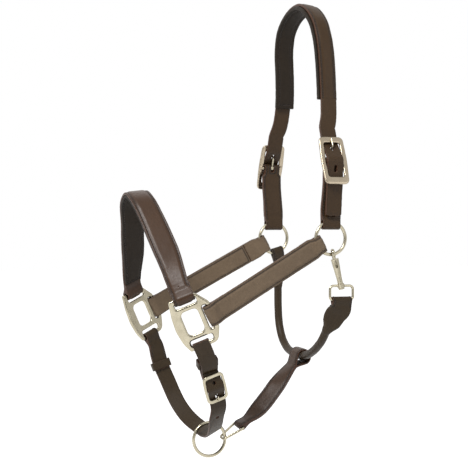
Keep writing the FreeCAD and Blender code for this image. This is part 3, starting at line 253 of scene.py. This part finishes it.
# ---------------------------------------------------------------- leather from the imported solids

class Hide:
    """A packed leather solid: its smooth faces, the edges between them and the way to its surface."""

    crease = math.radians(35)
    step = 0.4 * MM
    least = 26 * MM       # longer than the border of a punched hole
    face = 6 * MM         # the faces of a leather are wider than this, its cut edges narrower
    sliver = 0.25 * MM    # narrower faces are where two parts of a solid were joined

    def __init__(self, node):
        self.mesh = bmesh.new()
        self.mesh.from_mesh(NODES[node].data)
        bmesh.ops.remove_doubles(self.mesh, verts=self.mesh.verts, dist=1e-6)
        self.mesh.normal_update()
        self.mesh.faces.ensure_lookup_table()
        self.patch = self.find_patches()
        self.borders = [e for e in self.mesh.edges if len({self.patch[f] for f in e.link_faces}) == 2]
        widths = self.patch_widths()
        self.broad = {n for n, width in widths.items() if width > self.face}
        steps = {n for n, width in widths.items() if width < self.sliver}
        self.borders = [e for e in self.borders if not {self.patch[f] for f in e.link_faces} & steps]
        self.tree = BVHTree.FromBMesh(self.mesh)

    def find_patches(self):
        """Number of the smooth patch that each face belongs to."""
        patch = {}
        count = 0
        for first in self.mesh.faces:
            if first in patch:
                continue
            patch[first] = count
            stack = [first]
            while stack:
                face = stack.pop()
                for edge in face.edges:
                    if edge.calc_face_angle(0.0) > self.crease:
                        continue
                    for other in edge.link_faces:
                        if other not in patch:
                            patch[other] = count
                            stack.append(other)
            count += 1
        return patch

    def patch_widths(self):
        """Mean width of each patch: wide for a leather's face, a few mm for its cut edge."""
        area = {}
        rim = {}
        for face, number in self.patch.items():
            area[number] = area.get(number, 0.0) + face.calc_area()
        for edge in self.borders:
            for face in edge.link_faces:
                number = self.patch[face]
                rim[number] = rim.get(number, 0.0) + edge.calc_length()
        return {n: 2 * area[n] / rim.get(n, 1e-6) for n in area}

    def loops(self, number, least):
        """Border lines of a patch longer than least: lists of (point, tangent, normal, inward)."""
        sides = {}
        for edge in self.borders:
            for face in edge.link_faces:
                if self.patch[face] == number:
                    for vert in edge.verts:
                        sides.setdefault(vert, []).append((edge, face))
        used = set()
        found = []
        for vert in sides:
            for edge, face in sides[vert]:
                if edge in used:
                    continue
                line = []
                here = vert
                while edge is not None and edge not in used:
                    used.add(edge)
                    there = edge.other_vert(here)
                    tangent = (there.co - here.co).normalized()
                    inward = face.normal.cross(tangent)
                    if inward.dot(face.calc_center_median() - here.co) < 0:
                        inward = -inward
                    line.append((here.co.copy(), there.co.copy(), face.normal.copy(), inward))
                    here = there
                    edge, face = next(((e, f) for e, f in sides[here] if e not in used), (None, None))
                if sum((b - a).length for a, b, n, i in line) > least:
                    found.append(line)
        return found

    def edge_points(self, edges):
        """Points along edges at small steps, in a tree, with each one's two face normals."""
        points = []
        for edge in edges:
            a, b = (v.co for v in edge.verts)
            pieces = max(1, math.ceil((b - a).length / self.step))
            pair = tuple(f.normal.copy() for f in edge.link_faces)
            for i in range(pieces):
                points.append((a.lerp(b, (i + 0.5) / pieces), pair, edge.is_convex))
        tree = KDTree(len(points))
        for i, (point, pair, convex) in enumerate(points):
            tree.insert(point, i)
        tree.balance()
        return tree, points

    def long_trees(self):
        """For each broad patch, a tree of the points on its long borders, without its punched holes."""
        trees = {}
        for number in self.broad:
            points = []
            for line in self.loops(number, self.least):
                for a, b, normal, inward in line:
                    pieces = max(1, math.ceil((b - a).length / self.step))
                    points += [a.lerp(b, (i + 0.5) / pieces) for i in range(pieces)]
            tree = KDTree(len(points))
            for i, point in enumerate(points):
                tree.insert(point, i)
            tree.balance()
            trees[number] = tree
        return trees


class Sewing:
    """How a leather is worked near its edges: where its stitches run and how far its middle is raised."""

    groove_width = 0.75 * MM

    def __init__(self, inset=2.2, groove=0.35, rise=0.0, where=None, faces=None, sewn=True):
        self.inset = inset * MM
        self.groove = groove * MM
        self.rise = rise * MM
        self.slope = (self.inset + 0.3 * MM, self.inset + 3.5 * MM)
        self.where = where or (lambda point: True)
        self.faces = faces or (lambda normal, point: True)
        self.sewn = sewn


def smooth_step(low, high, value):
    """Share of the way from low to high, eased at both ends."""
    share = min(max((value - low) / (high - low), 0.0), 1.0)
    return share * share * (3 - 2 * share)


def remeshed(name, hide, cell, passes=0):
    """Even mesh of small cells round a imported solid, smoothed in passes as tumbling smooths a casting."""
    mesh = bpy.data.meshes.new(name)
    hide.mesh.to_mesh(mesh)
    obj = bpy.data.objects.new(name, mesh)
    bpy.context.scene.collection.objects.link(obj)
    modifier = obj.modifiers.new("cells", "REMESH")
    modifier.mode = "VOXEL"
    modifier.voxel_size = cell * 1.0
    modifier.adaptivity = 0.0
    if passes:
        tumbled = obj.modifiers.new("tumbled", "SMOOTH")
        tumbled.iterations = passes
    even = bpy.data.meshes.new_from_object(obj.evaluated_get(bpy.context.evaluated_depsgraph_get()))
    obj.modifiers.clear()
    obj.data = even
    even.name = name
    bpy.data.meshes.remove(mesh)
    return obj


WAVE = 9 * MM         # across one broad rise of a hide's surface
DENT = 3 * MM         # across one small rise
WEAR_AND_SHADE_REACH = 0.9 * MM     # how far in from its edge a face is darkened: partly handling wear, partly painted shade of the rounded edge
DYED = 0.5 * MM       # how far in a cut edge takes its full dye


def dress(node, material, sewing):
    """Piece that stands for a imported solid: soft edges, stitch grooves and an uneven surface."""
    work = bpy.context.scene.headcollar_leather
    hide = Hide(node)
    obj = remeshed(node + "_leather", hide, work.cell)
    edge_tree, edge_list = hide.edge_points(hide.borders)
    long_trees = hide.long_trees()
    radius = work.edge_round
    edge_wear_and_shade = []
    cuts = []
    groove_shades = []
    for vert in obj.data.vertices:
        place, normal, index, _ = hide.tree.find_nearest(vert.co)
        number = hide.patch[hide.mesh.faces[index]]
        broad = number in hide.broad
        spot, at, reach = edge_tree.find(place)
        long_reach = (long_trees[number].find(place)[2] if broad else None) or reach
        moved = place.copy()
        pair, convex = edge_list[at][1:]
        if reach < radius and convex:
            centre = spot - (pair[0] + pair[1]) * radius
            along = pair[0].cross(pair[1]).normalized()
            spoke = place - centre
            spoke -= along * spoke.dot(along)
            moved += spoke.normalized() * radius - spoke
        height = (noise.noise(place / WAVE) + noise.noise(place / DENT) * 0.35) * work.uneven
        # seam is the stitch groove's profile: it sinks the groove and is kept as the painted shade drawn in
        # it
        seam = 0.0
        if broad and sewing.groove and sewing.where(place) and sewing.faces(normal, place):
            seam = math.exp(-((long_reach - sewing.inset) / sewing.groove_width) ** 2)
            height -= sewing.groove * seam
            height += sewing.rise * smooth_step(*sewing.slope, long_reach)
        vert.co = moved + normal * height
        groove_shades.append(seam)
        # Darkening near the edges: partly handling wear, partly painted shade of the rounded edge
        edge_wear_and_shade.append(math.exp(-long_reach / WEAR_AND_SHADE_REACH) if broad else 0.0)
        cuts.append(0.0 if broad else smooth_step(0.0, DYED, reach))
    # For the leather's colour. rim: edge darkening, partly wear and partly painted shade. cut: the cut edge's
    # own dye. seam: painted shade in the stitch grooves.
    for name, values in (("rim", edge_wear_and_shade), ("cut", cuts), ("seam", groove_shades)):
        obj.data.attributes.new(name, "FLOAT", "POINT").data.foreach_set("value", values)
    stand_for(obj, node, material)
    if sewing.sewn:
        sew(node, hide, obj, sewing, long_trees)
    return obj


def stand_for(obj, node, material):
    """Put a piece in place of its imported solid, on that solid's body."""
    obj.data.shade_smooth()
    obj.data.materials.clear()
    obj.data.materials.append(material_of(material))
    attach(obj, BODY_OF[node])
    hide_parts(node)


def cast(node, material, cell, passes):
    """Casting whose edges and flat faces are rounded off, as a tumbled one's are."""
    obj = remeshed(node + "_casting", Hide(node), cell, passes)
    stand_for(obj, node, material)


# ---------------------------------------------------------------- stitches

STITCH_SLANT = 0.16   # how far a stitch leans across its row, for each unit along it
STITCH_LIFT = 0.35    # how far its middle lies above the leather, as a share of its radius
CROWDED = 0.93        # no stitch goes nearer to another edge than this share of its own inset


def stitch_shape(length, radius):
    """Points and faces of one stitch: a short round-ended strand that lies along x."""
    rings = [(-0.5, 0.25), (-0.36, 0.85), (0.0, 1.0), (0.36, 0.85), (0.5, 0.25)]
    around = 6
    points = []
    for along, share in rings:
        for i in range(around):
            turn = 2 * math.pi * i / around
            points.append(Vector((along * length, radius * share * math.cos(turn),
                                  radius * share * math.sin(turn))))
    faces = []
    for ring in range(len(rings) - 1):
        for i in range(around):
            j = (i + 1) % around
            here = ring * around
            there = here + around
            faces.append((here + i, here + j, there + j, there + i))
    faces.append(tuple(range(around))[::-1])
    faces.append(tuple((len(rings) - 1) * around + i for i in range(around)))
    return points, faces


def thread_piece(name, body, spots):
    """All the stitches of a piece as one mesh; each spot is (place, along, normal)."""
    work = bpy.context.scene.headcollar_leather
    points, faces = stitch_shape(work.stitch_length, work.thread_radius)
    verts = []
    polygons = []
    for place, along, normal in spots:
        side = normal.cross(along).normalized()
        slant = (along + side * STITCH_SLANT).normalized()
        turn = Matrix((slant, normal.cross(slant).normalized(), normal)).transposed()
        base = len(verts)
        verts += [place + normal * (work.thread_radius * STITCH_LIFT) + turn @ p for p in points]
        polygons += [tuple(base + i for i in face) for face in faces]
    mesh = bpy.data.meshes.new(name)
    mesh.from_pydata(verts, [], polygons)
    mesh.shade_smooth()
    mesh.materials.append(material_of("thread"))
    obj = bpy.data.objects.new(name, mesh)
    bpy.context.scene.collection.objects.link(obj)
    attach(obj, body)
    return obj


def sew(node, hide, dressed, sewing, long_trees):
    """Rows of stitches a set way in from the long edges of a leather's faces."""
    work = bpy.context.scene.headcollar_leather
    surface = BVHTree.FromObject(dressed, bpy.context.evaluated_depsgraph_get())
    spots = []
    for number in sorted(hide.broad):
        for line in hide.loops(number, hide.least):
            walked = 0.0
            wanted = work.stitch_pitch / 2
            for a, b, normal, inward in line:
                length = (b - a).length
                while walked + length > wanted:
                    edge_point = a.lerp(b, (wanted - walked) / length)
                    wanted += work.stitch_pitch
                    inside = edge_point + inward * sewing.inset
                    if long_trees[number].find(inside)[2] < sewing.inset * CROWDED:
                        continue
                    if not (sewing.where(inside) and sewing.faces(normal, inside)):
                        continue
                    place = surface.find_nearest(inside)[0]
                    along = (b - a).normalized()
                    along = (along - normal * along.dot(normal)).normalized()
                    spots.append((place, along, normal))
                walked += length
    if spots:
        thread_piece(node + "_stitches", BODY_OF[node], spots)


# ---------------------------------------------------------------- settings

class HeadcollarLeather(bpy.types.PropertyGroup):
    """How the leather is worked."""

    cell: FloatProperty(name="Cell", description="Size of the leather mesh's cells",
                        default=0.8 * MM, min=0.5 * MM, unit="LENGTH")
    edge_round: FloatProperty(name="Edge rounding", description="Radius of the rubbed edges",
                              default=0.7 * MM, min=0.0, unit="LENGTH")
    uneven: FloatProperty(name="Unevenness", description="How far the hide's surface rises and falls",
                          default=0.10 * MM, min=0.0, unit="LENGTH")
    stitch_pitch: FloatProperty(name="Stitch pitch", description="From one stitch to the next",
                                default=3.4 * MM, min=1.0 * MM, unit="LENGTH")
    stitch_length: FloatProperty(name="Stitch length", description="Length of a stitch",
                                 default=2.9 * MM, min=0.5 * MM, unit="LENGTH")
    thread_radius: FloatProperty(name="Thread radius", description="Half the thread's thickness",
                                 default=0.34 * MM, min=0.1 * MM, unit="LENGTH")


def tint(name, description, colour):
    """A colour that a user can change."""
    return FloatVectorProperty(name=name, description=description, subtype="COLOR", size=4,
                               min=0.0, max=1.0, default=linear(colour))


class HeadcollarTints(bpy.types.PropertyGroup):
    """The colours of the leathers, thread and hardware."""

    strap: tint("Strap", "Dye of the straps", "#6f5d4a")
    strap_pull: tint("Strap, worn", "Where the dye has lightened", "#8f7b64")
    nose: tint("Noseband", "Dye of the noseband", "#3c2819")
    nose_pull: tint("Noseband, worn", "Where the noseband has lightened", "#513a29")
    # The crown is drawn much darker than the straps: partly its own darker leather, partly painted shade for
    # the dimmer light on the crown
    crown: tint("Crown", "Dye of the crown strap", "#372613")
    crown_pull: tint("Crown, worn", "Where the crown strap has lightened", "#49341c")
    soft: tint("Soft strap", "Dye of the chin and throat straps", "#2e2110")
    soft_pull: tint("Soft strap, worn", "Where these have lightened", "#3d2f1a")
    cut_edge: tint("Cut edge", "Dye of the cut edges", "#4a3022")
    lining: tint("Lining", "Dye of the linings", "#1a1105")
    lining_pull: tint("Lining, worn", "Where the lining has lightened", "#261b0c")
    thread: tint("Thread", "Colour of the thread", "#3a2b23")
    nickel: tint("Nickel", "Colour of the plated hardware", "#b6af9b")
    nickel_dull: tint("Nickel, dull", "Where the plate has dulled", "#8c846f")
    buckle: tint("Buckle", "Colour of the crown buckles", "#b0a490")
    buckle_dull: tint("Buckle, dull", "Where the buckles have dulled", "#8a7e6c")


class HeadcollarStage(bpy.types.PropertyGroup):
    """Camera and light."""

    azimuth: FloatProperty(name="Azimuth", description="Way round from the front to the camera",
                           default=math.radians(68), subtype="ANGLE")
    distance: FloatProperty(name="Distance", description="From the headcollar's middle to the camera",
                            default=1.69, min=0.2, unit="LENGTH")
    behind: FloatProperty(name="Aim behind", description="How far behind the middle the camera aims",
                          default=10.3 * MM, unit="LENGTH")
    below: FloatProperty(name="Aim below", description="How far below the middle the camera aims",
                         default=7.5 * MM, unit="LENGTH")
    lens: FloatProperty(name="Lens", description="Focal length in millimetres on a 36 mm sensor",
                        default=106.92, min=10.0)
    key: FloatProperty(name="Key", description="Power of the main lamp in watts", default=22.0, min=0.0)
    fill: FloatProperty(name="Fill", description="Power of each weaker lamp in watts", default=3.0, min=0.0)
    sky: FloatProperty(name="Sky", description="Strength of the light all round", default=0.15, min=0.0)


# ---------------------------------------------------------------- operators

class HEADCOLLAR_OT_crown(bpy.types.Operator):
    """Crown strap, sewn to its pad above the pad's ends"""

    bl_idname = "headcollar.crown"
    bl_label = "Crown strap and pad"

    def execute(self, context):
        pad_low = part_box("crown_pad")[0].z

        def sewn_here(point):
            return point.z > pad_low + 2 * MM

        dress("crown_strap", "crown",
              Sewing(inset=2.2, groove=0.40, rise=0.7, where=sewn_here, faces=faces_out))
        pad = dress("crown_pad", "lining", Sewing(inset=4.4, groove=0.5, rise=0.5, faces=faces_in))
        return {"FINISHED"}


class HEADCOLLAR_OT_tabs(bpy.types.Operator):
    """Folded tabs between the crown buckles and the cheek rings"""

    bl_idname = "headcollar.tabs"
    bl_label = "Crown tabs"

    def execute(self, context):
        for side in ("near", "far"):
            node = side + "_crown_tab"
            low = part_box(node)[0].z
            above_fold = low + 14 * MM
            dress(node, "crown",
                  Sewing(inset=2.0, groove=0.30, rise=0.3, where=lambda point, z=above_fold: point.z > z))
        return {"FINISHED"}


class HEADCOLLAR_OT_cheeks(bpy.types.Operator):
    """Cheek straps and their linings"""

    bl_idname = "headcollar.cheeks"
    bl_label = "Cheek straps"

    def execute(self, context):
        for side in ("near", "far"):
            dress(side + "_cheek_strap", "strap", Sewing(inset=2.4, groove=0.45, rise=0.55, faces=faces_out))
            dress(side + "_cheek_lining", "strap", Sewing(inset=2.4, groove=0.40, rise=0.3, faces=faces_in))
        return {"FINISHED"}


class HEADCOLLAR_OT_noseband(bpy.types.Operator):
    """Noseband and its padded lining"""

    bl_idname = "headcollar.noseband"
    bl_label = "Noseband"

    def execute(self, context):
        dress("noseband_strap", "nose", Sewing(inset=2.6, groove=0.45, rise=0.8, faces=faces_out))
        lining = dress("noseband_lining", "lining", Sewing(inset=2.6, groove=0.5, rise=0.5, faces=faces_in))
        return {"FINISHED"}


class HEADCOLLAR_OT_chin(bpy.types.Operator):
    """Chin strap, its folded tab and its two keepers"""

    bl_idname = "headcollar.chin"
    bl_label = "Chin strap"

    def execute(self, context):
        keeper_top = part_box("far_chin_keeper")[1]

        def far_fold(point):
            return point.x < 0 and point.z > keeper_top.z

        dress("chin_strap", "soft", Sewing(inset=1.9, groove=0.20, rise=0.0, where=far_fold))
        dress("chin_tab", "soft", Sewing(inset=1.9, groove=0.20, rise=0.0))
        for side in ("near", "far"):
            dress(side + "_chin_keeper", "soft", Sewing(sewn=False, groove=0.0))
        return {"FINISHED"}


class HEADCOLLAR_OT_gullet(bpy.types.Operator):
    """Gullet strap, doubled round the rolled strap and the link"""

    bl_idname = "headcollar.gullet"
    bl_label = "Gullet strap"

    def execute(self, context):
        dress("gullet_strap", "nose", Sewing(inset=2.0, groove=0.28, rise=0.2))
        return {"FINISHED"}


class HEADCOLLAR_OT_throat(bpy.types.Operator):
    """Rolled throat strap with its seam, and the cord inside it"""

    bl_idname = "headcollar.throat"
    bl_label = "Throat strap"

    def execute(self, context):
        def flat(point):
            return point.z > (FAR_ROLL_END if point.x < 0 else NEAR_ROLL_END)

        dress("throat_strap", "soft", Sewing(inset=2.0, groove=0.20, rise=0.0, where=flat))
        core = NODES["throat_core"]
        core.data.materials.clear()
        core.data.materials.append(material_of("cord"))
        return {"FINISHED"}


class HEADCOLLAR_OT_hardware(bpy.types.Operator):
    """Finish of the castings, wires and snap"""

    bl_idname = "headcollar.hardware"
    bl_label = "Hardware"

    def execute(self, context):
        for side in ("near", "far"):
            cast(side + "_square", "casting", cell=0.6 * MM, passes=24)
            cast(side + "_crown_buckle", "buckle", cell=0.55 * MM, passes=12)
        cast("chin_buckle", "casting", cell=0.5 * MM, passes=6)
        finishes = {
            "casting": ["snap_hook", "snap_eye"],
            "wire": ["near_cheek_ring", "far_cheek_ring", "chin_ring", "gullet_link", "near_crown_tongue",
                     "far_crown_tongue", "chin_tongue", "snap_bolt", "snap_spring"],
        }
        for finish, nodes in finishes.items():
            for node in nodes:
                mesh = NODES[node].data
                mesh.materials.clear()
                mesh.materials.append(material_of(finish))
        return {"FINISHED"}


class HEADCOLLAR_OT_stage(bpy.types.Operator):
    """Pale floor, soft light and the camera"""

    bl_idname = "headcollar.stage"
    bl_label = "Floor, light and camera"

    def execute(self, context):
        stage = context.scene.headcollar_stage
        low, high = CAD_BOX
        middle = (low + high) / 2
        make_floor(low.z - FLOOR_BELOW)
        make_sky(stage.sky)
        look = Vector((math.sin(stage.azimuth), -math.cos(stage.azimuth), 0))
        side = Vector((-look.y, look.x, 0))
        camera = bpy.data.objects.new("camera", bpy.data.cameras.new("camera"))
        camera.data.lens = stage.lens
        camera.data.sensor_width = 36
        camera.location = Vector((0, middle.y + stage.behind, middle.z - stage.below)) + look * stage.distance
        camera.rotation_euler = look.to_track_quat("Z", "Y").to_euler()
        context.scene.collection.objects.link(camera)
        context.scene.camera = camera
        make_card(middle + look * CARD_AWAY + Vector((0, 0, CARD_UP)), side)
        up = Vector((0, 0, 1))
        make_lamp("key_lamp", middle + look * 1.0 - side * 0.5 + up * 1.0, middle, size=0.5, watts=stage.key)
        make_lamp("fill_lamp", middle + look * 1.1 + side * 1.4 + up * 0.5, middle,
                  size=0.9, watts=stage.fill)
        make_lamp("back_lamp", middle - look * 1.2 - side * 0.4 + up * 1.2, middle,
                  size=1.0, watts=stage.fill)
        return {"FINISHED"}


CROWN_ABOVE = -0.2    # the crown's arch lies above this height, the nose and the cheeks below it
CROWN_MIDDLE = -0.12
NOSE_MIDDLE = -0.33


def faces_out(normal, point):
    """Is this face of an upright arch or band on its outer side?"""
    middle = Vector((0, point.y, CROWN_MIDDLE if point.z > CROWN_ABOVE else NOSE_MIDDLE))
    return normal.dot(point - middle) > 0


def faces_in(normal, point):
    """Is it on the inner side?"""
    return not faces_out(normal, point)


FLOOR_BELOW = 0.10    # the headcollar hangs this far above the floor
CARD_AWAY = 2.4       # from its middle to the dark card
CARD_UP = 0.25
CARD_HALF = 0.8
FLOOR_HALF = 12


def looked_at(tree):
    """1 for the rays that see the background straight, in a shine or through something clear."""
    rays = add(tree, "ShaderNodeLightPath").outputs
    seen = rays["Is Camera Ray"]
    for way in ("Is Glossy Ray", "Is Transmission Ray"):
        seen = add(tree, "ShaderNodeMath", {0: seen, 1: rays[way]}, operation="MAXIMUM").outputs["Value"]
    return seen


def make_floor(height):
    """Wide white floor: white to the camera, and it keeps a soft shadow."""
    mesh = bpy.data.meshes.new("floor")
    far = FLOOR_HALF
    corners = ((-far, -far), (far, -far), (far, far), (-far, far))
    mesh.from_pydata([(x, y, height) for x, y in corners], [], [(0, 1, 2, 3)])
    floor = bpy.data.objects.new("floor", mesh)
    bpy.context.scene.collection.objects.link(floor)
    material, tree, output = blank_material("matt_white_paper")
    seen = looked_at(tree)
    paper = add(tree, "ShaderNodeBsdfDiffuse", {"Color": linear("#e8e8e8")})
    glow = add(tree, "ShaderNodeEmission", {"Color": (1, 1, 1, 1), "Strength": 1.0})
    both = add(tree, "ShaderNodeAddShader", {0: paper.outputs["BSDF"], 1: glow.outputs["Emission"]})
    mixed = add(tree, "ShaderNodeMixShader", {0: seen, 1: paper.outputs["BSDF"], 2: both.outputs["Shader"]})
    tree.links.new(mixed.outputs["Shader"], output.inputs["Surface"])
    mesh.materials.append(material)


def make_card(place, side):
    """Dark card behind the camera, which the metal reflects; other views can see it."""
    rise = Vector((0, 0, CARD_HALF))
    mesh = bpy.data.meshes.new("dark_card")
    left = place - side * CARD_HALF
    right = place + side * CARD_HALF
    mesh.from_pydata([left - rise, right - rise, right + rise, left + rise], [], [(0, 1, 2, 3)])
    card = bpy.data.objects.new("dark_card", mesh)
    bpy.context.scene.collection.objects.link(card)
    material, tree, output = blank_material("dark_cloth")
    cloth = add(tree, "ShaderNodeBsdfDiffuse", {"Color": linear("#1c1c1c")})
    tree.links.new(cloth.outputs["BSDF"], output.inputs["Surface"])
    mesh.materials.append(material)


def make_sky(strength):
    """Even light all round, and plain white where it is seen or reflected."""
    world = bpy.data.worlds.new("white_room")
    world.use_nodes = True
    tree = world.node_tree
    tree.nodes.clear()
    seen = looked_at(tree)
    light = add(tree, "ShaderNodeBackground", {"Color": (1, 1, 1, 1), "Strength": strength})
    white = add(tree, "ShaderNodeBackground", {"Color": (1, 1, 1, 1), "Strength": 1.0})
    mixed = add(tree, "ShaderNodeMixShader", {0: seen, 1: light.outputs[0], 2: white.outputs[0]})
    output = add(tree, "ShaderNodeOutputWorld", {"Surface": mixed.outputs[0]})
    output.is_active_output = True
    bpy.context.scene.world = world


def make_lamp(name, place, target, size, watts):
    """Square soft lamp that faces a target."""
    data = bpy.data.lights.new(name, "AREA")
    data.size = size
    data.energy = watts
    lamp = bpy.data.objects.new(name, data)
    lamp.location = place
    lamp.rotation_euler = (place - target).to_track_quat("Z", "Y").to_euler()
    bpy.context.scene.collection.objects.link(lamp)


class HEADCOLLAR_PT_panel(bpy.types.Panel):
    """Sizes, colours and the pieces that they make"""

    bl_idname = "HEADCOLLAR_PT_panel"
    bl_label = "Leather headcollar"
    bl_space_type = "VIEW_3D"
    bl_region_type = "UI"
    bl_category = "Headcollar"

    def draw(self, context):
        for name in ("headcollar_leather", "headcollar_tints", "headcollar_stage"):
            group = getattr(context.scene, name)
            column = self.layout.column(align=True)
            for key in group.__annotations__:
                column.prop(group, key)
        for operator in OPERATORS:
            self.layout.operator(operator.bl_idname)


GROUPS = (HeadcollarLeather, HeadcollarTints, HeadcollarStage)
OPERATORS = (HEADCOLLAR_OT_crown, HEADCOLLAR_OT_tabs, HEADCOLLAR_OT_cheeks, HEADCOLLAR_OT_noseband,
             HEADCOLLAR_OT_chin, HEADCOLLAR_OT_gullet, HEADCOLLAR_OT_throat, HEADCOLLAR_OT_hardware,
             HEADCOLLAR_OT_stage)


def register():
    for cls in GROUPS + OPERATORS + (HEADCOLLAR_PT_panel,):
        bpy.utils.register_class(cls)
    bpy.types.Scene.headcollar_leather = PointerProperty(type=HeadcollarLeather)
    bpy.types.Scene.headcollar_tints = PointerProperty(type=HeadcollarTints)
    bpy.types.Scene.headcollar_stage = PointerProperty(type=HeadcollarStage)


def unregister():
    for name in ("headcollar_leather", "headcollar_tints", "headcollar_stage"):
        delattr(bpy.types.Scene, name)
    for cls in reversed(GROUPS + OPERATORS + (HEADCOLLAR_PT_panel,)):
        bpy.utils.unregister_class(cls)


def main():
    register()
    bpy.context.scene.view_settings.view_transform = "Standard"
    bpy.ops.headcollar.crown()
    bpy.ops.headcollar.tabs()
    bpy.ops.headcollar.cheeks()
    bpy.ops.headcollar.noseband()
    bpy.ops.headcollar.chin()
    bpy.ops.headcollar.gullet()
    bpy.ops.headcollar.throat()
    bpy.ops.headcollar.hardware()
    bpy.ops.headcollar.stage()


if __name__ == "__main__":
    main()
